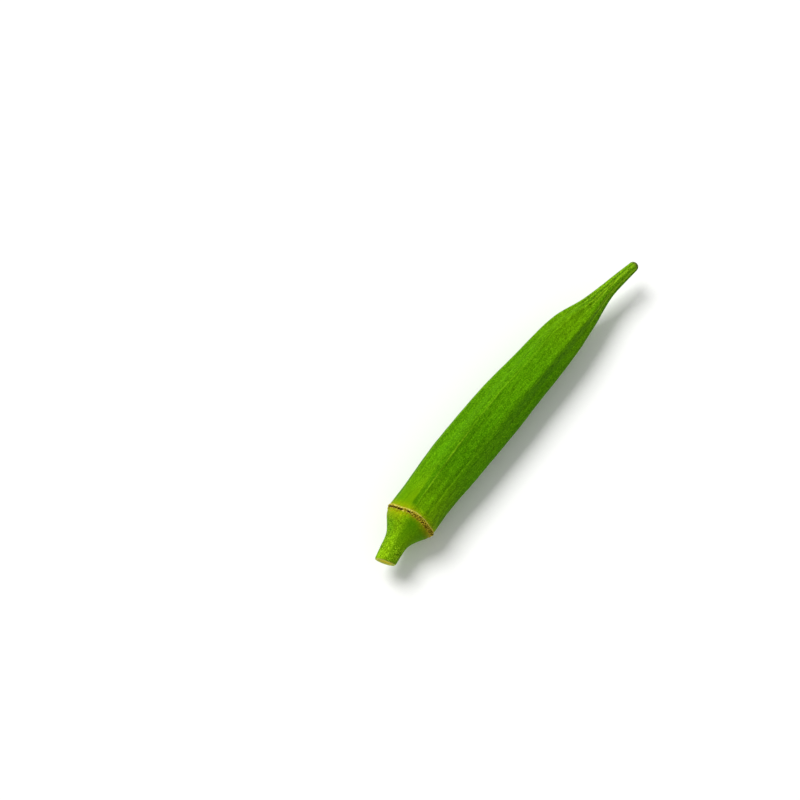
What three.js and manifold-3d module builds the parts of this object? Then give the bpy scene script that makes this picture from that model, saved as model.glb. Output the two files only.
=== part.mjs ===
// An okra pod, as picked: cut stalk, calyx cap with its scar ring, and the ridged capsule with its beak.
// Millimetres. +X runs from the stalk to the tip, +Z is up, and the pod lies on the ridges of its underside.
// Angles round the pod are in degrees from its top, turning to the right as seen from the stalk.
import * as THREE from "three";
import { LoftGeometry } from "three/addons/geometries/LoftGeometry.js";
import { mergeVertices } from "three/addons/utils/BufferGeometryUtils.js";
import Module from "manifold-3d";

const LENGTH = 130.8;
const RING_AT = 15.9; // the scar ring, where the capsule grows out of the cap

// Radius over the ridges, as [distance from the cut, radius]
const CAP_OUTLINE = [[0, 3.35], [4, 3.65], [8, 4.2], [11.2, 5.8], [14, 7.6], [RING_AT, 8.35]];
const CAPSULE_OUTLINE = [
  [RING_AT, 8.5], [24, 8.62], [31, 9.05], [40, 9.6], [62, 9.5], [76, 8.65], [90, 7.95],
  [97, 7.25], [103, 5.9], [110, 4.1], [117, 2.8], [124, 2.2], [LENGTH, 1.65],
];
const TIP_ROUNDING = 1.6;

// Centreline off the straight line from cut to tip, as [distance, offset to the left] and [distance, rise]
const BOW = [
  [0, -0.1], [8, 1.45], [RING_AT, 2.4], [34, 3.55], [66, 3.85], [82, 3.5], [97, 3.2], [106, 2.3], [118, 1.7],
  [LENGTH, 0],
];
const RISE = [[0, 0.8], [RING_AT, 0.25], [36, 0], [70, 0], [100, 0.8], [LENGTH, 2.2]];

// Each ridge: its angle near the ring and on the beak, then its height near the ring and on the beak
const RIDGES = [
  [-57, -60, 0.9, 1], [-4, -19, 1, 0.45], [31, 28, 0.1, 1], [77, 73, 0.8, 1],
  [118, 116, 0.8, 1], [159, 159, 1, 1], [201, 201, 1, 1], [252, 251, 0.8, 1],
];
const ANGLES_CHANGE = [RING_AT, 80]; // a ridge turns to its last angle between these distances
const HEIGHTS_CHANGE = [46, 78]; // and comes to its last height between these
// Depth of the hollow faces between the ridges, as a share of the radius
const HOLLOW = [
  [0, 0.03], [RING_AT, 0.02], [24, 0.05], [42, 0.1], [90, 0.11], [112, 0.15], [124, 0.13], [LENGTH, 0.06],
];
const HOLLOW_POWER = 1.7;

const RING_LIP = 0.2; // the scar stands this far out, over twice the next half width
const RING_HALF_WIDTH = 0.85;
// The ring isn't quite level: each wave's angle, half width in degrees and size towards the tip
const RING_WAVES = [[10, 22, 0.6], [-44, 20, -0.4], [-86, 26, -0.7], [100, 30, -0.35], [190, 35, 0.4]];
const RING_REACH = 8; // the cap and capsule follow the ring's waves over this distance
const CUT_SLOPE = 0.2; // the stalk is cut slightly aslant
const CUT_REACH = 7;

const FLAT_DEPTH = 0.3; // the resting ridges are worn flat by this much
const STEPS_PER_FACE = 6;
const NUDGE = 0.01; // the centreline's direction is read over this far on either side
const SEAM_GAP = 1e-4; // points closer than this are one point
// Sections along the pod, as [from, to, number of steps]
const RUNS = [
  [0, 8, 4], [8, RING_AT - RING_HALF_WIDTH, 6], [RING_AT - RING_HALF_WIDTH, RING_AT + RING_HALF_WIDTH, 4],
  [RING_AT + RING_HALF_WIDTH, 26, 5], [26, 92, 18], [92, LENGTH - TIP_ROUNDING, 16],
];
const TIP_STEPS = 4;
const LAST_STATION = LENGTH - 0.02;

// The smooth curve through some points, by cubic pieces whose slope at a point follows its neighbours
function curveAt(points, x) {
  const last = points.length - 1;
  const i = Math.min(Math.max(points.findIndex(([px]) => px > x), 1), last) - 1;
  const at = x >= points[last][0] ? last - 1 : i;
  const slope = (k) => {
    const [x0, y0] = points[Math.max(k - 1, 0)];
    const [x1, y1] = points[Math.min(k + 1, last)];
    return (y1 - y0) / (x1 - x0);
  };
  const [xa, ya] = points[at];
  const [xb, yb] = points[at + 1];
  const span = xb - xa;
  const t = (x - xa) / span;
  const bend = t * t * (3 - 2 * t);
  return ya + (yb - ya) * bend + span * t * (1 - t) * (slope(at) * (1 - t) - slope(at + 1) * t);
}

// 1 at zero, falling smoothly to 0 at the given reach
const fade = (distance, reach) => Math.max(0, 1 - (distance / reach) ** 2) ** 2;

const turnBetween = (a, b) => THREE.MathUtils.euclideanModulo(a - b + 180, 360) - 180;

// How far along the pod the ring is shifted at an angle
function ringShift(angle) {
  const waves = RING_WAVES.map(([at, width, size]) => size * fade(turnBetween(angle, at), 2 * width));
  return waves.reduce((sum, wave) => sum + wave, 0);
}

function radiusOverRidges(along) {
  const outline = curveAt(along < RING_AT ? CAP_OUTLINE : CAPSULE_OUTLINE, along);
  const lip = RING_LIP * fade(along - RING_AT, RING_HALF_WIDTH);
  const intoTip = Math.max(0, (along - LENGTH + TIP_ROUNDING) / TIP_ROUNDING);
  return (outline + lip) * Math.sqrt(Math.max(0, 1 - intoTip * intoTip));
}

// The angle and height of a ridge at a distance along the pod
function ridgeAt(index, along) {
  const [atRing, onBeak, lowHeight, lastHeight] = RIDGES[index % RIDGES.length];
  const turned = THREE.MathUtils.smoothstep(along, ...ANGLES_CHANGE);
  const changed = THREE.MathUtils.smoothstep(along, ...HEIGHTS_CHANGE);
  const wholeTurn = index >= RIDGES.length ? 360 : 0;
  return {
    angle: wholeTurn + THREE.MathUtils.lerp(atRing, onBeak, turned),
    height: THREE.MathUtils.lerp(lowHeight, lastHeight, changed),
  };
}

function pointAt(along, angle, radius) {
  const slope = (curveAt(BOW, along + NUDGE) - curveAt(BOW, along - NUDGE)) / (2 * NUDGE);
  const left = new THREE.Vector3(-slope, 1, 0).normalize();
  const turn = THREE.MathUtils.degToRad(angle);
  const sideways = -radius * Math.sin(turn);
  const ringPart = ringShift(angle) * fade(along - RING_AT, RING_REACH);
  const cutPart = CUT_SLOPE * sideways * fade(along, CUT_REACH);
  const height = curveAt(RISE, along) + radius * Math.cos(turn);
  const middle = new THREE.Vector3(along + ringPart - cutPart, curveAt(BOW, along), height);
  return middle.addScaledVector(left, sideways);
}

// One closed section: every face between two ridges is a shallow hollow
function section(along) {
  const radius = radiusOverRidges(along);
  const depth = curveAt(HOLLOW, along);
  const points = [];
  for (let index = 0; index < RIDGES.length; index++) {
    const from = ridgeAt(index, along);
    const to = ridgeAt(index + 1, along);
    for (let step = 0; step < STEPS_PER_FACE; step++) {
      const share = step / STEPS_PER_FACE;
      const angle = THREE.MathUtils.lerp(from.angle, to.angle, share);
      const height = THREE.MathUtils.lerp(from.height, to.height, share);
      const hollow = 1 - height * Math.abs(2 * share - 1) ** HOLLOW_POWER;
      points.push(pointAt(along, angle, radius * (1 - depth * hollow)));
    }
  }
  return points;
}

function stations() {
  const along = RUNS.flatMap(([from, to, steps]) =>
    Array.from({ length: steps }, (_, step) => from + ((to - from) * step) / steps));
  for (let step = 0; step < TIP_STEPS; step++) {
    along.push(LENGTH - TIP_ROUNDING * (1 - Math.sin((step / TIP_STEPS) * Math.PI / 2)));
  }
  return [...along, LAST_STATION];
}

const wasm = await Module();
wasm.setup();

function toSolid(geometry) {
  const bare = new THREE.BufferGeometry().setIndex(geometry.index);
  bare.setAttribute("position", geometry.getAttribute("position"));
  const merged = mergeVertices(bare, SEAM_GAP);
  const vertProperties = merged.getAttribute("position").array;
  const triVerts = new Uint32Array(merged.index.array);
  return new wasm.Manifold(new wasm.Mesh({ numProp: 3, vertProperties, triVerts }));
}

function toGeometry(solid) {
  const mesh = solid.getMesh();
  const geometry = new THREE.BufferGeometry();
  geometry.setAttribute("position", new THREE.BufferAttribute(mesh.vertProperties, 3));
  geometry.setIndex(new THREE.BufferAttribute(mesh.triVerts, 1));
  return geometry;
}

// The resting ridges are cut flat where the pod's weight lies on them
function cutFlat(geometry) {
  geometry.computeBoundingBox();
  const low = geometry.boundingBox.min.z + FLAT_DEPTH;
  const block = new THREE.BoxGeometry(2 * LENGTH, LENGTH, LENGTH).translate(0, 0, low - LENGTH / 2);
  return toGeometry(toSolid(geometry).subtract(toSolid(block)));
}

// The origin is under the middle of the pod, on the surface that it lies on
function standOnOrigin(geometry) {
  geometry.computeBoundingBox();
  const { min, max } = geometry.boundingBox;
  return geometry.translate(-(min.x + max.x) / 2, -(min.y + max.y) / 2, -min.z);
}

const skin = new THREE.MeshStandardMaterial({ color: 0x5f9a14, roughness: 0.55, metalness: 0 });
const loft = new LoftGeometry(stations().map(section), { capStart: true, capEnd: true });
const podGeometry = standOnOrigin(cutFlat(loft));
podGeometry.computeVertexNormals();
const pod = new THREE.Mesh(podGeometry, skin);
pod.name = "pod";

const okra = new THREE.Group();
okra.add(pod);
export default okra;
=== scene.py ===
# %% [markdown]
# An okra pod, picked and laid on a pale surface
#
# The real thing grew as one body: a stalk, a cone-shaped cap, a dry scar where the flower's leaves fell off,
# and a long capsule with eight ridges that draw together into a beak. The solid model gives its size and
# place. This lesson grows a finer skin over the same outline, then adds what is too small for a solid: the
# ribs beside the ridges, the dry fibres of the scar, the cut face of the stalk and the down.

# %% Load the solid model
import math

import bpy
import numpy as np
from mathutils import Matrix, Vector


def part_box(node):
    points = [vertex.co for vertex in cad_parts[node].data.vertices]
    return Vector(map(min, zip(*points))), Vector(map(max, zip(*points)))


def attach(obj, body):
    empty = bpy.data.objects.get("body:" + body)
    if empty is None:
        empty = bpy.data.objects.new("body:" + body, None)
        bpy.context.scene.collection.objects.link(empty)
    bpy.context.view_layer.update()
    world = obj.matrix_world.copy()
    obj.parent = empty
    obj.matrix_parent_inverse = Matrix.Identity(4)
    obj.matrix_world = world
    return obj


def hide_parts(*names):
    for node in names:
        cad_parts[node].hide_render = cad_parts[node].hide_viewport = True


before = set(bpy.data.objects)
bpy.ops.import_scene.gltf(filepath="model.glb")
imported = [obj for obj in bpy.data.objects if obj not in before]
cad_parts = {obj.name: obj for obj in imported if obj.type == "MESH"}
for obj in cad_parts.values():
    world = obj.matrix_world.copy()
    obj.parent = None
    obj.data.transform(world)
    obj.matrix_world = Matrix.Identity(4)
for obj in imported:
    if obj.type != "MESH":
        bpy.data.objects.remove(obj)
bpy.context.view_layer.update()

low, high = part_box("pod")
MM = 0.001
print("the solid is", [round(side / MM, 1) for side in high - low], "mm")

# %% [markdown]
# One helper for all the sums
#
# Geometry Nodes and materials are both graphs of sockets. Wiring Math nodes by hand hides the sum that they
# make, so a small class wraps a socket and turns Python's own signs into Math nodes. `1 - mask * 0.5` then
# reads the same in the tree that shapes the skin and in the tree that colours it. One method adds any other
# node.

# %% A socket that does sums
class Wire:
    """A socket of a node tree. Sums on it add Math nodes."""

    def __init__(self, graph, socket):
        self.graph = graph
        self.socket = socket

    def __add__(self, other):
        return self.graph.math("ADD", self, other)

    def __radd__(self, other):
        return self.graph.math("ADD", other, self)

    def __sub__(self, other):
        return self.graph.math("SUBTRACT", self, other)

    def __rsub__(self, other):
        return self.graph.math("SUBTRACT", other, self)

    def __mul__(self, other):
        return self.graph.math("MULTIPLY", self, other)

    def __rmul__(self, other):
        return self.graph.math("MULTIPLY", other, self)

    def __truediv__(self, other):
        return self.graph.math("DIVIDE", self, other)

    def __rtruediv__(self, other):
        return self.graph.math("DIVIDE", other, self)

    def __pow__(self, other):
        return self.graph.math("POWER", self, other)

    def __neg__(self):
        return self.graph.math("MULTIPLY", self, -1.0)

    def __abs__(self):
        return self.graph.math("ABSOLUTE", self)

    def __gt__(self, other):
        return self.graph.math("GREATER_THAN", self, other)

    def __lt__(self, other):
        return self.graph.math("LESS_THAN", self, other)

    def at_least(self, other):
        return self.graph.math("MAXIMUM", self, other)

    def at_most(self, other):
        return self.graph.math("MINIMUM", self, other)


class Graph:
    """A node tree under construction."""

    def __init__(self, tree):
        self.tree = tree

    def add(self, kind, settings=None, sockets=None, output=0):
        """Adds a node: its settings first, then the values or wires of its sockets."""
        node = self.tree.nodes.new(kind)
        for name, value in (settings or {}).items():
            if name == "points":
                set_points(node.mapping, value)
            else:
                setattr(node, name, value)
        for name, value in (sockets or {}).items():
            if isinstance(value, Wire):
                self.tree.links.new(value.socket, node.inputs[name])
            else:
                node.inputs[name].default_value = value
        return Wire(self, node.outputs[output]) if node.outputs else node

    def math(self, operation, *values):
        return self.add("ShaderNodeMath", {"operation": operation}, dict(enumerate(values)))

    def smooth(self, value, start, end):
        """0 before start, 1 after end, and a smooth rise between them."""
        sockets = {"Value": value, "From Min": start, "From Max": end}
        return self.add("ShaderNodeMapRange", {"interpolation_type": "SMOOTHSTEP"}, sockets)

    def between(self, share, start, end):
        """start where share is 0, end where it is 1."""
        return start + (end - start) * share

    def noise(self, vector, scale, detail=2.0, roughness=0.5):
        sockets = {"Vector": vector, "Scale": scale, "Detail": detail, "Roughness": roughness}
        return self.add("ShaderNodeTexNoise", {}, sockets)

    def vector(self, x, y, z):
        return self.add("ShaderNodeCombineXYZ", {}, {"X": x, "Y": y, "Z": z})

    def parts(self, vector):
        return [self.add("ShaderNodeSeparateXYZ", {}, {"Vector": vector}, axis) for axis in range(3)]


def set_points(mapping, points):
    """Puts points on a Float Curve, joined by straight lines."""
    curve = mapping.curves[0]
    for index, (x, y) in enumerate(points):
        point = curve.points[index] if index < 2 else curve.points.new(x, y)
        point.location = (x, y)
    for point in curve.points:
        point.handle_type = "VECTOR"
    mapping.update()


def in_scene(name, data):
    """A new object in the scene, for a mesh, a lamp or a camera."""
    holder = bpy.data.objects.new(name, data)
    bpy.context.scene.collection.objects.link(holder)
    return holder


print("helpers ready")

# %% [markdown]
# The pod's outline, as drawn
#
# These numbers are the solid model's own driving sizes, in millimetres, so that the fine skin keeps its
# form. The radius over the ridges, the sideways bow and the slight rise of the ends are drawn through a few
# points. A smooth curve joins them, as a draughtsman's spline would.

# %% Driving sizes
LENGTH = 130.8
RING_AT = 15.9  # the scar ring, where the capsule grows out of the cap

# Radius over the ridges, as [distance from the cut, radius]
CAP_OUTLINE = [[0, 3.35], [4, 3.65], [8, 4.2], [11.2, 5.8], [14, 7.6], [RING_AT, 8.35]]
CAPSULE_OUTLINE = [
    [RING_AT, 8.5], [24, 8.62], [31, 9.05], [40, 9.6], [62, 9.5], [76, 8.65], [90, 7.95],
    [97, 7.25], [103, 5.9], [110, 4.1], [117, 2.8], [124, 2.2], [LENGTH, 1.65],
]
TIP_ROUNDING = 1.6

# The centreline off the straight line from cut to tip, as [distance, offset to the left], then as
# [distance, rise]
BOW = [
    [0, -0.1], [8, 1.45], [RING_AT, 2.4], [34, 3.55], [66, 3.85], [82, 3.5],
    [97, 3.2], [106, 2.3], [118, 1.7], [LENGTH, 0],
]
RISE = [[0, 0.8], [RING_AT, 0.25], [36, 0], [70, 0], [100, 0.8], [LENGTH, 2.2]]

# The ridges, near the ring and on the beak: each one's angle in degrees from the top, its height, the
# strength of the fine rib beside it, and how much painted shade darkens the face after it
ANGLES_AT_RING = [-57, -4, 31, 77, 118, 159, 201, 252]
ANGLES_ON_BEAK = [-60, -19, 28, 73, 116, 159, 201, 251]
HEIGHTS_AT_RING = [0.9, 1, 0.1, 0.8, 0.8, 1, 1, 0.8]
HEIGHTS_ON_BEAK = [1, 0.45, 1, 1, 1, 1, 1, 1]
RIBS_AT_RING = [0.7, 1.5, 0.3, 0.7, 1, 0.6, 0.9, 0.7]
RIBS_ON_BEAK = [0.9, 0.5, 0.25, 0.8, 0.7, 0.9, 0.8, 0.9]
PAINTED_SHADE_AT_RING = [0, 0.8, 0.6, 0.5, 0.2, 0.6, 0.3, 0.1]
PAINTED_SHADE_ON_BEAK = [0, 0, 0.95, 0.6, 0.3, 0.6, 0.2, 0.1]
RIDGES = len(ANGLES_AT_RING)
ANGLES_CHANGE = [RING_AT, 80]  # a ridge turns to its last angle between these distances
HEIGHTS_CHANGE = [46, 78]  # and the rest comes to its last value between these

# Depth of the hollow faces between the ridges, as a share of the radius
HOLLOW = [
    [0, 0.03], [RING_AT, 0.02], [24, 0.05], [42, 0.1], [90, 0.11], [112, 0.15], [124, 0.13], [LENGTH, 0.06],
]
HOLLOW_POWER = 1.7

# The ring isn't quite level: each wave's angle, half width in degrees and size towards the tip
RING_WAVES = [[10, 22, 0.6], [-44, 20, -0.4], [-86, 26, -0.7], [100, 30, -0.35], [190, 35, 0.4]]
RING_REACH = 8  # the cap and capsule follow the waves over this distance
CUT_SLOPE = 0.2  # the stalk is cut slightly aslant
CUT_REACH = 7
FLAT_DEPTH = 0.3  # the resting ridges are worn flat by this much


def curve_at(points, x):
    """The smooth curve through some points: cubic pieces whose slope at a point follows its neighbours."""
    xs, ys = np.array(points, float).T
    last = len(xs) - 1
    before = np.maximum(np.arange(last + 1) - 1, 0)
    after = np.minimum(np.arange(last + 1) + 1, last)
    slopes = (ys[after] - ys[before]) / (xs[after] - xs[before])
    at = int(np.clip(np.searchsorted(xs, x, "right") - 1, 0, last - 1))
    span = xs[at + 1] - xs[at]
    t = (x - xs[at]) / span
    bend = t * t * (3 - 2 * t)
    swing = span * t * (1 - t) * (slopes[at] * (1 - t) - slopes[at + 1] * t)
    return ys[at] + (ys[at + 1] - ys[at]) * bend + swing


widest = max(curve_at(CAPSULE_OUTLINE, x) for x in np.arange(RING_AT, LENGTH))
print(f"the drawn pod is {LENGTH} mm long and {2 * widest:.1f} mm across its ridges")

# %% [markdown]
# A flat sheet to roll up
#
# The skin starts as a flat sheet. Across it run eight lanes, one for each face between two ridges. Along it
# run the rows, close together where the form turns quickly: at the cut, at the scar ring and at the tip. The
# rows before zero become the end face of the stalk. In each lane the columns crowd towards the ridges, where
# the fine ribs are.

# %% Make the flat sheet
COLUMNS_PER_FACE = 20
CROWDING = 1.5
END_ROWS = [-1, -0.8, -0.6, -0.4, -0.2, -0.08, -0.03]
# Stretches of rows, as (from, to, space between rows)
STRETCHES = [(0, 8, 0.25), (8, 14.4, 0.22), (14.4, 17.6, 0.07), (17.6, 30, 0.35), (30, 95, 0.6)]
BEAK_STRETCH = (95, LENGTH - TIP_ROUNDING, 0.4)
TIP_ROWS = 12


def even_rows(start, end, spacing):
    """Rows from start up to end, without end itself."""
    return np.linspace(start, end, round((end - start) / spacing), endpoint=False)


def flat_sheet():
    tip_turn = np.linspace(0, math.pi / 2, TIP_ROWS)
    tip = LENGTH - TIP_ROUNDING + TIP_ROUNDING * np.sin(tip_turn)
    rows = np.concatenate([END_ROWS, *(even_rows(*s) for s in STRETCHES), even_rows(*BEAK_STRETCH), tip])
    half = np.linspace(0, 1, COLUMNS_PER_FACE // 2, endpoint=False)
    near = 0.5 * half ** CROWDING
    shares = np.concatenate([near, [0.5], 1 - near[:0:-1]])
    lanes = np.append(np.concatenate([face + shares for face in range(RIDGES)]), RIDGES)
    points = [(x, y, 0) for x in rows for y in lanes]
    wide = len(lanes)
    corners = [(i * wide + j, (i + 1) * wide + j, (i + 1) * wide + j + 1, i * wide + j + 1)
               for i in range(len(rows) - 1) for j in range(wide - 1)]
    mesh = bpy.data.meshes.new("flat_sheet")
    mesh.from_pydata(points, [], corners)
    return in_scene("flat_sheet", mesh), rows


sheet, sheet_rows = flat_sheet()
print(len(sheet_rows), "rows,", len(sheet.data.polygons), "faces in the flat sheet")

# %% [markdown]
# Rolling the sheet into the pod
#
# The pod's form follows a rule, so Geometry Nodes can make it. A Float Curve node holds each drawn outline,
# the place along the sheet says where to read it, and the place across says how far round the point goes.
# The surface could be sculpted, but then every change of the outline would mean sculpting again.
#
# The same tree adds the relief that a hand would feel: two lips and a groove at the scar, a thin rib just
# beside each ridge's crest between a deep furrow and a shallow one, fine lengthwise veins, and low swellings
# where the seeds press from inside.

# %% Names that the skin carries for its finish, and how a tree reads an outline
ALONG, TURN, INWARD = "along", "turn", "inward"
FROM_RING, FROM_RIDGE, TO_VEIN = "from_ring", "from_ridge", "to_vein"
# The face number says how much painted shade darkens each face
RIB_STRENGTH, PAINTED_FACE_SHADE = "rib_strength", "face_tone"
CURVE_STEPS = 130
LEAST_RANGE = 1e-6  # a curve that is level still needs some height to be scaled by


def drawn(graph, points, along, start=0.0, end=LENGTH):
    """A Float Curve node that holds a drawn outline between start and end."""
    places = [start + (end - start) * step / CURVE_STEPS for step in range(CURVE_STEPS + 1)]
    return float_curve(graph, [curve_at(points, x) for x in places], (along - start) / (end - start))


def float_curve(graph, values, share):
    """A Float Curve node through evenly spaced values, read at a share from 0 to 1."""
    base = min(values)
    size = max(max(values) - base, LEAST_RANGE)
    points = [(index / (len(values) - 1), (value - base) / size) for index, value in enumerate(values)]
    return graph.add("ShaderNodeFloatCurve", {"points": points}, {"Value": share}) * size + base


def slope_values(points, nudge=0.01):
    """The slope of a drawn line, read at even steps along the pod."""
    return [(curve_at(points, x + nudge) - curve_at(points, x - nudge)) / (2 * nudge)
            for x in np.linspace(nudge, LENGTH - nudge, CURVE_STEPS + 1)]


def one_of(values, index):
    """The value for a whole-numbered index, as a sum of the values that apply."""
    found = index * 0.0
    for number, value in enumerate(values):
        if value:
            found = found + (abs(index - number) < 0.5) * value
    return found


def fade(distance, reach):
    """1 at zero, falling smoothly to 0 at the given reach."""
    return (1 - (distance / reach) ** 2).at_least(0.0) ** 2


def hump(graph, distance, width):
    """A rounded bump of height 1."""
    return graph.math("EXPONENT", -(distance / width) ** 2)


print("outline readers ready")

# %% The start and end of a tree
def input_socket(tree, name, kind, default=None):
    socket = tree.interface.new_socket(name=name, in_out="INPUT", socket_type=kind)
    if default is not None:
        socket.default_value = default
    return socket


def new_geometry_tree(name, sizes):
    """A Geometry Nodes tree with a geometry input, named number inputs and a material input."""
    tree = bpy.data.node_groups.new(name, "GeometryNodeTree")
    input_socket(tree, "Geometry", "NodeSocketGeometry")
    for size, default in sizes.items():
        input_socket(tree, size, "NodeSocketFloat", default)
    input_socket(tree, "Material", "NodeSocketMaterial")
    tree.interface.new_socket(name="Geometry", in_out="OUTPUT", socket_type="NodeSocketGeometry")
    graph = Graph(tree)
    entry = tree.nodes.new("NodeGroupInput")
    return graph, {socket.name: Wire(graph, socket) for socket in entry.outputs if socket.name}


def end_tree(graph, geometry, material):
    painted = graph.add("GeometryNodeSetMaterial", {}, {"Geometry": geometry, "Material": material})
    graph.add("NodeGroupOutput", {}, {"Geometry": painted})
    return graph.tree


def keep(graph, geometry, name, value):
    """Stores a number on every point, under a name that the material can read."""
    settings = {"data_type": "FLOAT", "domain": "POINT"}
    sockets = {"Geometry": geometry, "Name": name, "Value": value}
    return graph.add("GeometryNodeStoreNamedAttribute", settings, sockets)


def read(graph, name):
    return graph.add("GeometryNodeInputNamedAttribute", {"data_type": "FLOAT"}, {"Name": name})


print("tree starter ready")

# %% Build the tree that rolls the sheet
RIB_AT = 0.42  # how far beside its ridge's crest a fine rib runs
TIP_FADE = (LENGTH - 5, LENGTH - 1)  # the ribs and veins end between these distances
BEAK_BEGINS = (98.0, 112.0)
CAP_RIBS = 5
CAP_RIBS_TURN = 60  # degrees
SEAM_GAP = 0.002  # points closer than this are one point
SKIN_SIZES = {
    "Ring lip": 0.3,
    "Ring groove": 0.34,
    "Ridge rib": 0.13,
    "Beak vein": 0.15,
    "Fine vein": 0.05,
    "Seed swell": 0.07,
    "Cap rib": 0.08,
    "Crest rounding": 0.2,
    "Worn edge": 0.2,
    "Pith depth": 0.6,
}


def ring_shift(graph, turn):
    """How far the scar ring wanders along the pod at an angle round it."""
    shift = turn * 0.0
    for at, width, size in RING_WAVES:
        away = graph.math("WRAP", turn - at, 180.0, -180.0)
        shift = shift + fade(away, 2.0 * width) * size
    return shift


def round_the_pod(graph, turn, size, third):
    """A place for a noise to be read, so that it closes on itself round the pod."""
    radians = graph.math("RADIANS", turn)
    return graph.vector(graph.math("COSINE", radians) * size, graph.math("SINE", radians) * size, third)


def rib_strength(graph, along, lane, strongest):
    """How strong the fine rib on a ridge is. It comes and goes along the pod."""
    ridge = graph.math("MODULO", graph.math("ROUND", lane), float(RIDGES))
    strength = graph.noise(graph.vector(along * 0.03, ridge * 7.3, 0.0), 1.0, 1.0) + 0.15
    starts = graph.smooth(along, RING_AT + 0.8, RING_AT + 3.5)
    ends = 1 - graph.smooth(along, *TIP_FADE)
    return strength * starts * ends * strongest


def ridge_relief(graph, from_ridge):
    """A fine rib just beside the crest of a ridge, between a deep furrow and a shallow one."""
    furrows = hump(graph, from_ridge + 0.4, 0.36) + hump(graph, from_ridge - 1.0, 0.3) * 0.5
    return hump(graph, from_ridge - RIB_AT, 0.22) - furrows * 0.8


def fine_veins(graph, along, turn, on_capsule):
    """Fine lengthwise veins: noise drawn out along the pod, deeper on the beak and the cap."""
    fine = graph.noise(round_the_pod(graph, turn, 8.0, along * 0.05), 1.0, 3.0, 0.6) - 0.5
    return fine * (1 + graph.smooth(along, 92, 112) * 1.2 + (1 - on_capsule) * 0.8)


def swellings(graph, along, share, lane, on_capsule):
    """Low swellings over the seeds, one row along the middle of each face, none alike."""
    face = graph.math("FLOOR", lane)
    uneven = graph.noise(graph.vector(along * 0.08, face * 5.1, 1.0), 1.0) * 9
    wave = graph.math("SINE", along * 0.95 + face * 2.4 + uneven)
    reach = graph.smooth(along, 24, 36) * (1 - graph.smooth(along, 96, 108))
    return wave * fade(share - 0.5, 0.5) * reach * on_capsule


def cap_ribs(graph, along, turn, on_capsule):
    """A few low ribs round the cap, which end before the stalk and the scar."""
    on_cap = (1 - on_capsule) * graph.smooth(along, 0.5, 4.0) * (1 - graph.smooth(along, 12.5, 15.0))
    return graph.math("COSINE", graph.math("RADIANS", turn * CAP_RIBS + CAP_RIBS_TURN)) * on_cap


def scar_pattern(graph, from_ring, turn):
    """The distance from the scar's ragged middle, and a noise that breaks the scar up along its length."""
    place = round_the_pod(graph, turn, 1.0, from_ring * 0.1)
    ragged = graph.noise(place, 20.0, 2.0, 0.6) - 0.5
    return from_ring + ragged * 0.55, graph.noise(place, 9.0, 2.0, 0.6)


def scar_relief(graph, from_ring, turn, lip, groove):
    """Two dry lips with a groove between them."""
    middle, broken = scar_pattern(graph, from_ring, turn)
    cap_lip = hump(graph, middle + 0.5, 0.28) * (0.3 + broken)
    capsule_lip = hump(graph, middle - 0.35, 0.3) * (1.3 - broken)
    cleft = hump(graph, middle + 0.12, 0.2) * graph.smooth(broken, 0.38, 0.55)
    return (cap_lip + capsule_lip) * lip - cleft * groove


def plain_radius(graph, along, on_capsule, from_crest, height, crest):
    """The radius without the fine relief: the drawn outline, hollowed between the ridges."""
    outline = graph.between(on_capsule, drawn(graph, CAP_OUTLINE, along, 0.0, RING_AT),
                            drawn(graph, CAPSULE_OUTLINE, along, RING_AT, LENGTH))
    softened = graph.math("SQRT", from_crest * from_crest + crest * crest) - crest
    hollow = 1 - height * (1 - softened) ** HOLLOW_POWER
    return outline * (1 - drawn(graph, HOLLOW, along) * hollow)


def on_the_pod(graph, along, turn, radius, from_ring, sunken):
    """The point at an angle and a radius round the bent centreline."""
    radians = graph.math("RADIANS", turn)
    sideways = -radius * graph.math("SINE", radians)
    upwards = radius * graph.math("COSINE", radians)
    slope = float_curve(graph, slope_values(BOW), along / LENGTH)
    unit = 1 / graph.math("SQRT", 1 + slope * slope)
    ring_part = ring_shift(graph, turn) * fade(from_ring, RING_REACH)
    cut_part = sideways * CUT_SLOPE * fade(along, CUT_REACH)
    return graph.vector(
        along + ring_part - cut_part - sideways * slope * unit + sunken,
        drawn(graph, BOW, along) + sideways * unit,
        drawn(graph, RISE, along) + upwards,
    )


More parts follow.
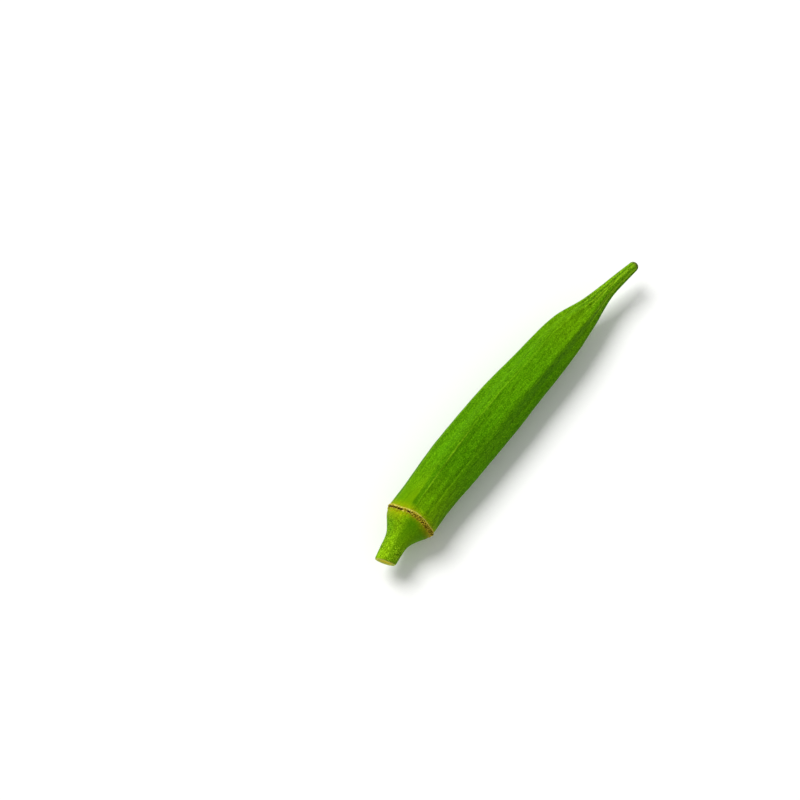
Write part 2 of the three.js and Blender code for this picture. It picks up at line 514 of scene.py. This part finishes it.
def rolled_skin_tree():
    graph, given = new_geometry_tree("roll_the_sheet", SKIN_SIZES)
    sheet_along, lane, _ = graph.parts(graph.add("GeometryNodeInputPosition"))
    along = sheet_along.at_least(0.0)
    inward = 1 + sheet_along.at_most(0.0)
    share = graph.math("FRACT", lane)
    round_share = lane / RIDGES

    def of_ridges(changed, at_ring, on_beak, whole_turn=0):
        """A value read between the ridges, which changes from the ring to the beak."""
        first = float_curve(graph, [*at_ring, at_ring[0] + whole_turn], round_share)
        last = float_curve(graph, [*on_beak, on_beak[0] + whole_turn], round_share)
        return graph.between(changed, first, last)

    turned = graph.smooth(along, *ANGLES_CHANGE)
    changed = graph.smooth(along, *HEIGHTS_CHANGE)
    turn = of_ridges(turned, ANGLES_AT_RING, ANGLES_ON_BEAK, 360)
    height = of_ridges(changed, HEIGHTS_AT_RING, HEIGHTS_ON_BEAK)
    strength = rib_strength(graph, along, lane, of_ridges(changed, RIBS_AT_RING, RIBS_ON_BEAK))

    on_capsule = along > RING_AT
    from_crest = 1 - abs(2 * share - 1)
    plain = plain_radius(graph, along, on_capsule, from_crest, height, given["Crest rounding"])
    face_width = plain * math.radians(360 / RIDGES)
    from_ring = along - RING_AT
    from_ridge = from_crest * face_width * ((share < 0.5) - 0.5)
    to_vein = (1 - from_crest) * face_width * 0.5
    on_beak = graph.smooth(along, *BEAK_BEGINS) * (1 - graph.smooth(along, *TIP_FADE))
    relief = (
        ridge_relief(graph, from_ridge) * strength * given["Ridge rib"]
        + hump(graph, to_vein, 0.2) * on_beak * given["Beak vein"]
        + fine_veins(graph, along, turn, on_capsule) * given["Fine vein"]
        + swellings(graph, along, share, lane, on_capsule) * given["Seed swell"]
        + cap_ribs(graph, along, turn, on_capsule) * given["Cap rib"]
        + scar_relief(graph, from_ring, turn, given["Ring lip"], given["Ring groove"])
        - hump(graph, along, 0.3) * given["Worn edge"]
    )
    into_tip = ((along - (LENGTH - TIP_ROUNDING)) / TIP_ROUNDING).at_least(0.0)
    rounding = graph.math("SQRT", (1 - into_tip * into_tip).at_least(0.0))
    radius = (plain + relief) * rounding * inward
    sunken = (1 - graph.smooth(inward, 0.84, 0.95)) * given["Pith depth"]
    placed = on_the_pod(graph, along, turn, radius, from_ring, sunken)

    face = graph.math("FLOOR", lane.at_most(RIDGES - 0.001))
    # How much painted shade darkens each face, changing from the ring to the beak
    tone = graph.between(changed, one_of(PAINTED_SHADE_AT_RING, face), one_of(PAINTED_SHADE_ON_BEAK, face))
    kept = {
        ALONG: along, TURN: graph.math("WRAP", turn, 180.0, -180.0), INWARD: inward, FROM_RING: from_ring,
        FROM_RIDGE: from_ridge, TO_VEIN: to_vein, RIB_STRENGTH: strength, PAINTED_FACE_SHADE: tone,
    }
    geometry = given["Geometry"]
    for name, value in kept.items():
        geometry = keep(graph, geometry, name, value)
    rolled = graph.add("GeometryNodeSetPosition", {}, {"Geometry": geometry, "Position": placed})
    closed = graph.add("GeometryNodeMergeByDistance", {}, {"Geometry": rolled, "Distance": SEAM_GAP})
    smooth = graph.add("GeometryNodeSetShadeSmooth", {}, {"Geometry": closed})
    return end_tree(graph, smooth, given["Material"])


skin_tree = rolled_skin_tree()
print("the skin's tree has", len(skin_tree.nodes), "nodes")

# %% [markdown]
# From a tree to a plain mesh
#
# A tree works as a modifier. Other programs can't run one, so each piece is kept as the mesh that comes out,
# with the numbers that its material reads. The helpers below read and write such a mesh as arrays.

# %% Run a tree on an object and keep the plain mesh
def grow(name, source, tree, material, **sizes):
    """Runs a Geometry Nodes tree on a source object and returns a new object with the finished mesh."""
    modifier = source.modifiers.new(name, "NODES")
    modifier.node_group = tree
    wanted = {**sizes, "Material": material}
    for item in tree.interface.items_tree:
        if item.in_out == "INPUT" and item.name in wanted:
            modifier[item.identifier] = wanted[item.name]
    depsgraph = bpy.context.evaluated_depsgraph_get()
    evaluated = source.evaluated_get(depsgraph)
    mesh = bpy.data.meshes.new_from_object(evaluated, preserve_all_data_layers=True, depsgraph=depsgraph)
    source.modifiers.remove(modifier)
    mesh.name = name
    return in_scene(name, mesh)


def triangles(mesh):
    return sum(len(face.vertices) - 2 for face in mesh.polygons)


def coordinates(mesh):
    found = np.zeros(len(mesh.vertices) * 3)
    mesh.vertices.foreach_get("co", found)
    return found.reshape(-1, 3)


def set_coordinates(mesh, points):
    mesh.vertices.foreach_set("co", points.ravel())
    mesh.update()


def values_of(mesh, name):
    found = np.zeros(len(mesh.vertices))
    mesh.attributes[name].data.foreach_get("value", found)
    return found


print("tree runner ready")

# %% [markdown]
# The finish of the skin
#
# Okra skin is a satin green that is nearly free of blue. It is yellower next to the scar and on the stalk,
# where the tissue is youngest. Painted shade darkens the furrows and some faces, and a painted highlight
# lightens the fine ribs. Close up it is speckled by its down and drawn out in fine streaks. A picture of the
# real skin could be wrapped round the pod, but a mix of noises never shows a seam or a repeat, and it can be
# baked for any other program.

# %% Colours
def light(red, green, blue):
    """A colour as a paint chart gives it, from 0 to 255, turned into light."""
    def one(value):
        share = value / 255
        return share / 12.92 if share <= 0.04045 else ((share + 0.055) / 1.055) ** 2.4
    return (one(red), one(green), one(blue), 1.0)


FACE_GREEN = light(80, 140, 3)
PAINTED_SHADE_AND_MOTTLE_GREEN = light(48, 108, 1)
PAINTED_HIGHLIGHT_GREEN = light(134, 182, 26)
YOUNG_GREEN = light(106, 150, 2)
BEAK_GREEN = light(78, 126, 5)
CAP_GREEN = light(110, 158, 2)
STALK_GREEN = light(114, 158, 3)
OLIVE = light(112, 108, 3)
VELVET = light(160, 204, 36)
LEAFY_SHINE = light(190, 240, 40)
SCAR_HALO = light(156, 170, 4)
SCAR_GOLD = light(206, 182, 50)
SCAR_EDGE = light(222, 212, 100)
SCAR_OLIVE = light(126, 112, 12)
SCAR_RUST = light(168, 128, 14)
SCAR_BROWN = light(52, 32, 5)
TIP_BROWN = light(78, 76, 30)
CUT_RIM = light(216, 228, 104)
CUT_GOLD = light(222, 208, 36)
CUT_BROWN = light(106, 92, 6)
DOWN_PALE = light(146, 190, 20)
BUMP = {"Strength": 0.5, "Distance": 0.1 * MM}


class Paint(Graph):
    """A material's tree, with colour mixing."""

    def mix(self, share, first, second, blend="MIX"):
        settings = {"data_type": "RGBA", "blend_type": blend}
        return self.add("ShaderNodeMix", settings, {0: share, 6: first, 7: second}, 2)

    def attribute(self, name):
        return self.add("ShaderNodeAttribute", {"attribute_name": name}, {}, 2)

    def place(self):
        """Where a point is on its object, in metres."""
        return self.add("ShaderNodeTexCoord", {}, {}, 3)


def new_material(name, colour, shine):
    """A material with only a Principled shader, for a graph to fill in. The colour shows in a plain view."""
    material = bpy.data.materials.new(name)
    material.use_nodes = True
    material.diffuse_color = colour
    paint = Paint(material.node_tree)
    shader = next(node for node in material.node_tree.nodes if node.type == "BSDF_PRINCIPLED")
    shader.inputs["Specular IOR Level"].default_value = shine
    return material, paint, shader


def feed(paint, shader, **wires):
    for name, wire in wires.items():
        paint.tree.links.new(wire.socket, shader.inputs[name.replace("_", " ")])


print("the face green is", [round(share, 3) for share in FACE_GREEN[:3]], "in light")

# %% The skin's material
class Spot:
    """What the skin's material reads at a point: the kept numbers, a few noises and masks for painted shade
    on two sides of the pod.
    """

    def __init__(self, paint):
        self.place = paint.place()
        for name in (ALONG, TURN, FROM_RING, FROM_RIDGE, TO_VEIN, RIB_STRENGTH, PAINTED_FACE_SHADE):
            setattr(self, name, paint.attribute(name))
        x, y, z = paint.parts(self.place)
        drawn_out = paint.vector(x * 0.06, y, z)
        self.streaks = paint.noise(drawn_out, 900.0, 3.0, 0.6)
        self.bands = paint.noise(drawn_out, 260.0, 2.0, 0.5)
        self.blotches = paint.noise(self.place, 70.0, 2.0, 0.5)
        self.flecks = paint.noise(paint.vector(x * 0.25, y, z), 1700.0, 2.0, 0.6)
        self.speckle = paint.noise(paint.vector(x * 0.6, y, z), 4000.0, 2.0, 0.6)
        # Masks for painted shade: the left side from a little past the top, and the right side, away from
        # the light
        self.left_painted_shade = 1 - paint.smooth(self.turn, -50.0, -20.0)
        self.shaded = paint.smooth(self.turn, -14.0, 12.0) * (1 - paint.smooth(self.turn, 75.0, 130.0))


def capsule_paint(paint, at):
    """Yellow green by the scar, deeper further out, with painted shade in the furrows and on some faces and
    a painted highlight on the ribs.
    """
    # Painted shade face by face, mixed with a real darker mottle from the bands noise
    mottle_and_painted_shade = paint.smooth(at.bands, 0.35, 0.7) * 0.3 + at.face_tone * 0.35
    green = paint.mix(mottle_and_painted_shade, FACE_GREEN, PAINTED_SHADE_AND_MOTTLE_GREEN)
    # Less yellow where the bands run older, plus painted shade by face and on the left side
    age_and_painted_shade = paint.smooth(at.bands, 0.35, 0.75) * 0.2 + at.face_tone * 0.6 + at.left_painted_shade * 0.45
    young = paint.mix(age_and_painted_shade, YOUNG_GREEN, FACE_GREEN)
    capsule = paint.mix(paint.smooth(at.from_ring, 2.0, 24.0) ** 0.8, young, green)

    strength = at.rib_strength.at_most(1.0)
    far_out = paint.smooth(at.from_ring, 12.0, 30.0)
    # Painted shade in the furrows on both sides of each rib, stronger on the left one near the scar
    left_furrow_painted_shade = (1 - paint.smooth(abs(at.from_ridge + 0.5), 0.35, 0.9)) * (0.75 - far_out * 0.5)
    right_furrow_painted_shade = (1 - paint.smooth(abs(at.from_ridge - 1.2), 0.35, 1.0)) * (0.1 + far_out * 0.4)
    capsule = paint.mix((left_furrow_painted_shade + right_furrow_painted_shade) * strength, capsule, PAINTED_SHADE_AND_MOTTLE_GREEN)
    to_rib = abs(at.from_ridge - RIB_AT)
    # A painted highlight along each fine rib, broken up by the streaks
    rib = (1 - paint.smooth(to_rib, 0.12, 0.34)) * paint.smooth(at.streaks, 0.3, 0.65)
    capsule = paint.mix(rib * strength * 0.55, capsule, PAINTED_HIGHLIGHT_GREEN)
    # Yellower before the beak, less so on the faces that carry painted shade
    before_beak = paint.smooth(at.along, 80.0, 100.0) * (1 - at.face_tone * 0.5)
    capsule = paint.mix(before_beak * 0.4, capsule, YOUNG_GREEN)

    to_line = at.to_vein.at_most(to_rib)
    # On the beak: painted shade between the fine lines and a painted highlight on them
    beak = paint.mix(paint.smooth(to_line, 0.3, 0.6) * 0.5, BEAK_GREEN, PAINTED_SHADE_AND_MOTTLE_GREEN)
    beak = paint.mix((1 - paint.smooth(to_line, 0.08, 0.32)) * 0.75, beak, PAINTED_HIGHLIGHT_GREEN)
    return paint.mix(paint.smooth(at.along, 100.0, 114.0) * 0.85, capsule, beak)


def cap_paint(paint, at):
    """Yellower on the stalk, with painted shade on both sides, painted light by the scar on the left, and
    dried olive blotches on the right.
    """
    cap = paint.mix(paint.smooth(at.bands, 0.3, 0.7) * 0.3, CAP_GREEN, FACE_GREEN)
    cap = paint.mix(1 - paint.smooth(at.along, 2.0, 10.0), cap, STALK_GREEN)
    # Painted shade on the right side, away from the light, stronger next to the scar
    cap = paint.mix(at.shaded * (0.42 + paint.smooth(at.from_ring, -7.0, -3.0) * 0.22), cap, PAINTED_SHADE_AND_MOTTLE_GREEN)
    # Painted shade on the left side too, stronger past the stalk
    cap = paint.mix(at.left_painted_shade * (0.2 + paint.smooth(at.along, 3.0, 9.0) * 0.25), cap, PAINTED_SHADE_AND_MOTTLE_GREEN)
    # Painted light: yellower beside the scar on the left side, towards the light
    left_painted_light = (1 - paint.smooth(at.turn, -30.0, 0.0)) * paint.smooth(at.from_ring, -4.5, -1.5)
    cap = paint.mix(left_painted_light * 0.5, cap, SCAR_HALO)
    dry = paint.smooth(at.turn, 15.0, 50.0) * at.shaded * paint.smooth(at.from_ring, -3.5, -0.8)
    return paint.mix(dry * paint.smooth(at.blotches, 0.2, 0.55), cap, OLIVE)


def scar_paint(paint, at, skin):
    """Dry gold tissue in yellowed skin: a dark crack on one side of the pod, dark crumbs on the other."""
    middle, broken = scar_pattern(paint, at.from_ring, at.turn)
    crumbs = paint.noise(at.place, 2300.0, 2.0, 0.7)
    crumbly = paint.smooth(at.turn, -8.0, 10.0) * (1 - paint.smooth(at.turn, 120.0, 145.0))
    whole = 1 - crumbly
    halo = 1 - paint.smooth(abs(at.from_ring - 0.4), 0.5, 3.0)
    skin = paint.mix(halo * (0.42 - crumbly * 0.15), skin, SCAR_HALO)
    stray = paint.smooth(at.from_ring, -2.2, -0.9) * (1 - paint.smooth(at.from_ring, 0.8, 1.8))
    skin = paint.mix(stray * paint.smooth(crumbs, 0.52, 0.6) * 0.6, skin, SCAR_RUST)
    half_width = 0.52 + crumbly * 0.26
    ragged = abs(middle) + (crumbs - 0.5) * 1.6
    band = 1 - paint.smooth(ragged, half_width - 0.15, half_width + 0.15)
    tissue = paint.mix(paint.smooth(crumbs, 0.4, 0.54), SCAR_GOLD, SCAR_OLIVE)
    skin = paint.mix(band * 0.85, skin, tissue)
    clumps = band * whole * paint.smooth(paint.noise(at.place, 1500.0, 2.0, 0.7), 0.5, 0.56)
    skin = paint.mix(clumps * 0.75, skin, SCAR_EDGE)
    edge = 1 - paint.smooth(abs(middle - half_width + 0.05), 0.06, 0.2)
    skin = paint.mix(edge * paint.smooth(crumbs, 0.35, 0.5) * 0.7, skin, SCAR_EDGE)
    crack = (1 - paint.smooth(abs(middle + 0.2), 0.18, 0.4)) * paint.smooth(broken, 0.4, 0.48) * whole
    speck_zone = 1 - paint.smooth(abs(middle + 0.15), 0.45, 0.8)
    specks = paint.smooth(crumbs, 0.48, 0.55) * speck_zone * (0.3 + crumbly * 0.55)
    return paint.mix(crack.at_least(specks), skin, SCAR_BROWN), band


def skin_material():
    material, paint, shader = new_material("okra_skin", FACE_GREEN, 0.02)
    shader.inputs["Specular Tint"].default_value = LEAFY_SHINE
    at = Spot(paint)
    on_capsule = paint.smooth(at.from_ring, -0.2, 0.2)
    off_stalk = paint.smooth(at.along, 4.0, 9.0)
    skin = paint.mix(on_capsule, cap_paint(paint, at), capsule_paint(paint, at))

    calm_cap = at.shaded * off_stalk * (1 - on_capsule)
    calm_face = (1 - paint.smooth(abs(at.from_ring - 4), 1.0, 7.0)) * (1 - paint.smooth(at.turn, -15.0, 5.0))
    lively = 1.15 + paint.smooth(at.along, *BEAK_BEGINS) * 0.4 + (1 - off_stalk) * 0.3
    lively = lively - calm_cap.at_least(calm_face) * 0.75
    velvet = paint.smooth(at.speckle, 0.47, 0.7) * (1 - paint.smooth(at.along, 7.0, 22.0) * 0.7)
    skin = paint.mix(velvet * lively * 0.5, skin, VELVET)
    skin, near_scar = scar_paint(paint, at, skin)
    skin = paint.mix(paint.smooth(at.along, LENGTH - 2.2, LENGTH - 0.6) * 0.75, skin, TIP_BROWN)
    skin = paint.mix(1 - paint.smooth(at.along, 0.02, 0.22), skin, CUT_RIM)
    dried_edge = (1 - paint.smooth(at.along, 0.15, 0.5)) * (1 - paint.smooth(abs(at.turn), 60.0, 110.0))
    skin = paint.mix(dried_edge * 0.5, skin, OLIVE)

    grain = (at.speckle - 0.5) * 1.6 + (at.flecks - 0.5) * 0.9
    grain = grain + (at.streaks - 0.5) * 0.7 + (at.bands - 0.5) * 0.4
    grained = 1 + grain * lively
    skin = paint.mix(1.0, skin, paint.vector(grained, grained, grained), "MULTIPLY")
    height = at.speckle * 0.4 + at.flecks * 0.3 + at.streaks * 0.4
    bump = paint.add("ShaderNodeBump", {}, {**BUMP, "Height": height})
    roughness = 0.58 + (at.speckle - 0.5) * 0.3 + near_scar * 0.2
    feed(paint, shader, Base_Color=skin, Roughness=roughness, Normal=bump)
    return material


okra_skin = skin_material()
pod_skin = grow("pod_skin", sheet, skin_tree, okra_skin, **SKIN_SIZES)
print("the skin has", triangles(pod_skin.data), "triangles")

# %% [markdown]
# Resting on the surface
#
# The solid's lowest two ridges are worn flat where the pod's weight lies on them. The skin gets the same
# treatment: what is lowest is pressed flat, and then the skin is moved so that its box sits in the solid's
# box.

# %% Put the skin where the solid is
def settle(piece):
    """Presses the finished skin's lowest ridges flat and moves it into the solid's box, in metres."""
    points = coordinates(piece.data)
    points[:, 2] = np.maximum(points[:, 2], points[:, 2].min() + FLAT_DEPTH)
    lowest, highest = points.min(0), points.max(0)
    middle = (lowest + highest) / 2
    solid_middle = (low + high) / 2
    points[:, 0] += solid_middle.x / MM - middle[0]
    points[:, 1] += solid_middle.y / MM - middle[1]
    points[:, 2] += low.z / MM - lowest[2]
    set_coordinates(piece.data, points * MM)
    return (highest - lowest).round(2)


print("the skin is", settle(pod_skin), "mm")
bpy.data.objects.remove(sheet)
for name in (ALONG, TURN):
    found = values_of(pod_skin.data, name)
    print(name, "runs from", found.min(), "to", found.max())

# %% [markdown]
# The cut face of the stalk
#
# A knife leaves a golden disc: a pale rim that browns along its top, a ring of woody fibre bundles, and a
# softer pith that sinks a little as it dries. It is a separate thin disc, so that it can have its own
# finish. Its outline is read from the skin's own rim, which keeps the two together whatever the outline
# does.

# %% The cut disc
# From the rim inwards, as (share of the radius, height in millimetres)
CUT_RINGS = [
    (0.97, -0.75), (0.96, 0.02), (0.9, 0.1), (0.86, 0.04), (0.83, -0.36), (0.76, -0.3),
    (0.68, -0.27), (0.6, -0.34), (0.5, -0.4), (0.36, -0.42), (0.2, -0.44), (0.08, -0.44),
]
CUT_BACK = -0.9
CUT_ROUGHNESS = 0.012
ON_THE_CUT = 1e-4
OUTSIDE = 0.999  # the skin's inward number is 1 all over its outside and falls to 0 on the end face
FROM_CENTRE = "from_centre"


def rim_of(piece):
    """The points of the skin's edge at the cut, in order round the stalk."""
    mesh = piece.data
    edge = np.flatnonzero((values_of(mesh, ALONG) < ON_THE_CUT) & (values_of(mesh, INWARD) > OUTSIDE))
    order = np.argsort(values_of(mesh, TURN)[edge])
    return coordinates(mesh)[edge[order]]


cut_rim = rim_of(pod_skin)
cut_centre = cut_rim.mean(0)
cut_spokes = cut_rim - cut_centre
cut_radius = float(np.linalg.norm(cut_spokes, axis=1).mean())


def cut_disc(material):
    count = len(cut_spokes)
    normal = np.cross(cut_spokes[0], cut_spokes[count // 4])
    normal = normal / np.linalg.norm(normal)
    outwards = normal if normal[0] < 0 else -normal
    generator = np.random.default_rng(5)
    rough = generator.normal(0, CUT_ROUGHNESS, (len(CUT_RINGS), count))
    rings = [cut_centre + cut_spokes * share + np.outer(lift + rough[k] * share, outwards) * MM
             for k, (share, lift) in enumerate(CUT_RINGS)]
    ends = [[cut_centre + outwards * lift * MM] for lift in (CUT_RINGS[-1][1], CUT_BACK)]
    points = np.concatenate([*rings, *ends])
    top, back = len(points) - 2, len(points) - 1
    faces = []
    for j in range(count):
        following = (j + 1) % count
        for k in range(len(CUT_RINGS) - 1):
            start, end = k * count, (k + 1) * count
            faces.append((start + j, start + following, end + following, end + j))
        last = (len(CUT_RINGS) - 1) * count
        faces.append((last + j, last + following, top))
        faces.append((following, j, back))
    mesh = bpy.data.meshes.new("cut_face")
    mesh.from_pydata(points, [], faces)
    mesh.materials.append(material)
    shares = [share for share, _ in CUT_RINGS for _ in range(count)] + [0.0, 1.0]
    mesh.attributes.new(FROM_CENTRE, "FLOAT", "POINT").data.foreach_set("value", shares)
    mesh.shade_smooth()
    return in_scene("cut_face", mesh)


def cut_material():
    material, paint, shader = new_material("cut_stalk", CUT_GOLD, 0.03)
    place = paint.place()
    from_centre = paint.attribute(FROM_CENTRE)
    fibres = paint.noise(place, 3400.0, 2.0, 0.6)
    wet = paint.noise(place, 600.0, 2.0, 0.5)
    woody = paint.smooth(from_centre, 0.35, 0.55) * (1 - paint.smooth(from_centre, 0.78, 0.83))
    pale_rim = paint.smooth(from_centre, 0.79, 0.84)
    _, y, z = paint.parts(place)
    upper = paint.smooth((z - float(cut_centre[2])) / cut_radius, 0.2, 0.8)
    right = 1 - paint.smooth((y - float(cut_centre[1])) / cut_radius, -0.85, -0.45)
    colour = paint.mix(pale_rim, CUT_GOLD, CUT_RIM)
    colour = paint.mix(upper * pale_rim * 0.35, colour, OLIVE)
    colour = paint.mix(right * 0.5, colour, CAP_GREEN)
    colour = paint.mix(woody * paint.smooth(fibres, 0.46, 0.58) * 0.7, colour, CUT_BROWN)
    colour = paint.mix(paint.smooth(wet, 0.5, 0.7) * (1 - woody) * 0.25, colour, CUT_RIM)
    bump = paint.add("ShaderNodeBump", {}, {**BUMP, "Height": fibres})
    feed(paint, shader, Base_Color=colour, Roughness=0.5 + wet * 0.3, Normal=bump)
    return material


cut_face = cut_disc(cut_material())
print("the cut is", round(cut_face.dimensions.y / MM, 1), "mm across")

# %% [markdown]
# Down and dry fibres
#
# Hairs and fibres repeat by the thousand, so Geometry Nodes scatter them. One tree serves both: it picks
# points on the skin inside a band, stands a thin three-sided spike on each, tilts it at random and makes it
# real. A particle system would look the same here, but its hairs would be lost in an export.

# %% The tree that scatters spikes
SHORTEST, LONGEST = 0.5, 1.2  # shares of a spike's given size
SPIKE_SIZES = {
    "Per square millimetre": 6.0,
    "Length": 0.3,
    "Thickness": 0.04,
    "Tilt": 0.5,
    "Band start": -20.0,
    "Band end": 120.0,
    "Seed": 1.0,
}
FIBRE_SIZES = {
    "Per square millimetre": 9.0,
    "Length": 0.4,
    "Thickness": 0.13,
    "Tilt": 1.2,
    "Band start": -0.6,
    "Band end": 0.6,
    "Seed": 9.0,
}


def scatter_tree():
    graph, given = new_geometry_tree("scatter_spikes", SPIKE_SIZES)
    from_ring = read(graph, FROM_RING)
    in_band = (from_ring > given["Band start"]) * (from_ring < given["Band end"])
    allowed = in_band * (read(graph, INWARD) > OUTSIDE)
    points = graph.add("GeometryNodeDistributePointsOnFaces", {}, {
        "Mesh": given["Geometry"],
        "Density": given["Per square millimetre"] * (1 / MM ** 2) * allowed,
        "Seed": given["Seed"],
    })
    upright = Wire(graph, points.socket.node.outputs["Rotation"])
    spike = graph.add("GeometryNodeMeshCone", {"fill_type": "NGON"}, {
        "Vertices": 3,
        "Radius Top": 0.0,
        "Radius Bottom": given["Thickness"] * (MM / 2),
        "Depth": given["Length"] * MM,
    })
    tilt = given["Tilt"]
    seed = given["Seed"] + 3
    turned = graph.add("FunctionNodeRandomValue", {"data_type": "FLOAT_VECTOR"}, {
        0: graph.vector(-tilt, -tilt, 0.0),
        1: graph.vector(tilt, tilt, 2 * math.pi),
        "Seed": seed,
    })
    rotation = graph.add("FunctionNodeRotateRotation", {"rotation_space": "LOCAL"}, {
        "Rotation": upright, "Rotate By": turned,
    })
    size = graph.add("FunctionNodeRandomValue", {"data_type": "FLOAT"}, {
        2: SHORTEST, 3: LONGEST, "Seed": seed,
    }, 1)
    placed = graph.add("GeometryNodeInstanceOnPoints", {}, {
        "Points": points, "Instance": spike, "Rotation": rotation, "Scale": size,
    })
    real = graph.add("GeometryNodeRealizeInstances", {}, {"Geometry": placed})
    return end_tree(graph, real, given["Material"])


def down_material():
    material, paint, shader = new_material("plant_down", DOWN_PALE, 0.15)
    tone = paint.noise(paint.place(), 400.0, 1.0, 0.5)
    colour = paint.mix(tone, DOWN_PALE, FACE_GREEN)
    feed(paint, shader, Base_Color=colour, Roughness=0.5 + tone * 0.2)
    return material


def fibre_material():
    material, paint, shader = new_material("scar_fibre", SCAR_GOLD, 0.15)
    tone = paint.noise(paint.place(), 700.0, 2.0, 0.6)
    colour = paint.mix(paint.smooth(tone, 0.46, 0.56), SCAR_GOLD, SCAR_BROWN)
    feed(paint, shader, Base_Color=colour, Roughness=0.6 + tone * 0.2)
    return material


spikes = scatter_tree()
down = grow("down", pod_skin, spikes, down_material(), **SPIKE_SIZES)
fibres = grow("scar_fibres", pod_skin, spikes, fibre_material(), **FIBRE_SIZES)
print("down", triangles(down.data), "triangles, scar fibres", triangles(fibres.data))

# %% [markdown]
# Riding on the solid
#
# The finished pieces are plain meshes at the origin. They ride on the part's one body, and they stand for
# the solid, which stays behind for collisions.

# %% Hand the pieces to the frame
for piece, slot in ((pod_skin, "skin"), (cut_face, "cut"), (down, "down"), (fibres, "scar")):
    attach(piece, "root")
    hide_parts("pod")

# %% [markdown]
# Floor, light and camera
#
# A pale floor and a large soft light from above the pod's bowed side give the flat bright faces and the
# darker lower faces. The camera looks down steeply, so that a pod lying flat shows the same side and length
# as a pod that is propped up and seen from a lower place.

# %% The stage
FLOOR_COLOUR = light(253, 253, 252)
FLOOR_SIZE = 4.0
KEY_TURN, KEY_HEIGHT = 176, 56
KEY_DISTANCE, KEY_SIZE, KEY_POWER = 6.0, 2.6, 288.0  # metres, metres, watts
WHITE = (1, 1, 1, 1)
ROOM_LIGHT = 0.46


def pale_floor():
    half = FLOOR_SIZE / 2
    corners = [(-half, -half, 0), (half, -half, 0), (half, half, 0), (-half, half, 0)]
    mesh = bpy.data.meshes.new("floor")
    mesh.from_pydata(corners, [], [(0, 1, 2, 3)])
    material, _, shader = new_material("pale_floor", FLOOR_COLOUR, 0.1)
    shader.inputs["Base Color"].default_value = FLOOR_COLOUR
    shader.inputs["Roughness"].default_value = 0.8
    mesh.materials.append(material)
    floor = in_scene("floor", mesh)


def facing(name, data, target, turn, height, distance):
    """A lamp or camera that faces a target, from a turn round it (0 is -Y) and a height, in degrees."""
    holder = in_scene(name, data)
    a, e = math.radians(turn), math.radians(height)
    back = Vector((math.sin(a) * math.cos(e), -math.cos(a) * math.cos(e), math.sin(e)))
    holder.location = target + back * distance
    holder.rotation_mode = "QUATERNION"
    holder.rotation_quaternion = (-back).to_track_quat("-Z", "Y")
    return holder


def soft_light(name, turn, height, distance, size, power):
    """A square light that faces the pod."""
    lamp = bpy.data.lights.new(name, "AREA")
    lamp.shape = "SQUARE"
    lamp.size = size
    lamp.energy = power
    facing(name, lamp, Vector((0, 0, 0)), turn, height, distance)


pale_floor()
soft_light("key", KEY_TURN, KEY_HEIGHT, KEY_DISTANCE, KEY_SIZE, KEY_POWER)
world = bpy.data.worlds.new("room")
world.use_nodes = True
background = world.node_tree.nodes["Background"]
background.inputs["Color"].default_value = WHITE
background.inputs["Strength"].default_value = ROOM_LIGHT
bpy.context.scene.world = world
bpy.context.scene.view_settings.view_transform = "Standard"
print("one key light at", KEY_HEIGHT, "degrees")

# %% The camera
VIEW_TURN, VIEW_HEIGHT = -50.2, 73.1
VIEW_DISTANCE = 0.5069
LOOK_AT = Vector((-20.5, 27.25, 9.0)) * MM
LENS, SENSOR = 70.0, 36.0  # millimetres
NEAREST = 0.01  # metres

view = bpy.data.cameras.new("camera")
view.lens = LENS
view.sensor_width = SENSOR
view.clip_start = NEAREST
bpy.context.scene.camera = facing("camera", view, LOOK_AT, VIEW_TURN, VIEW_HEIGHT, VIEW_DISTANCE)
print("the frame is", round(VIEW_DISTANCE * SENSOR / LENS / MM), "mm wide at the pod")
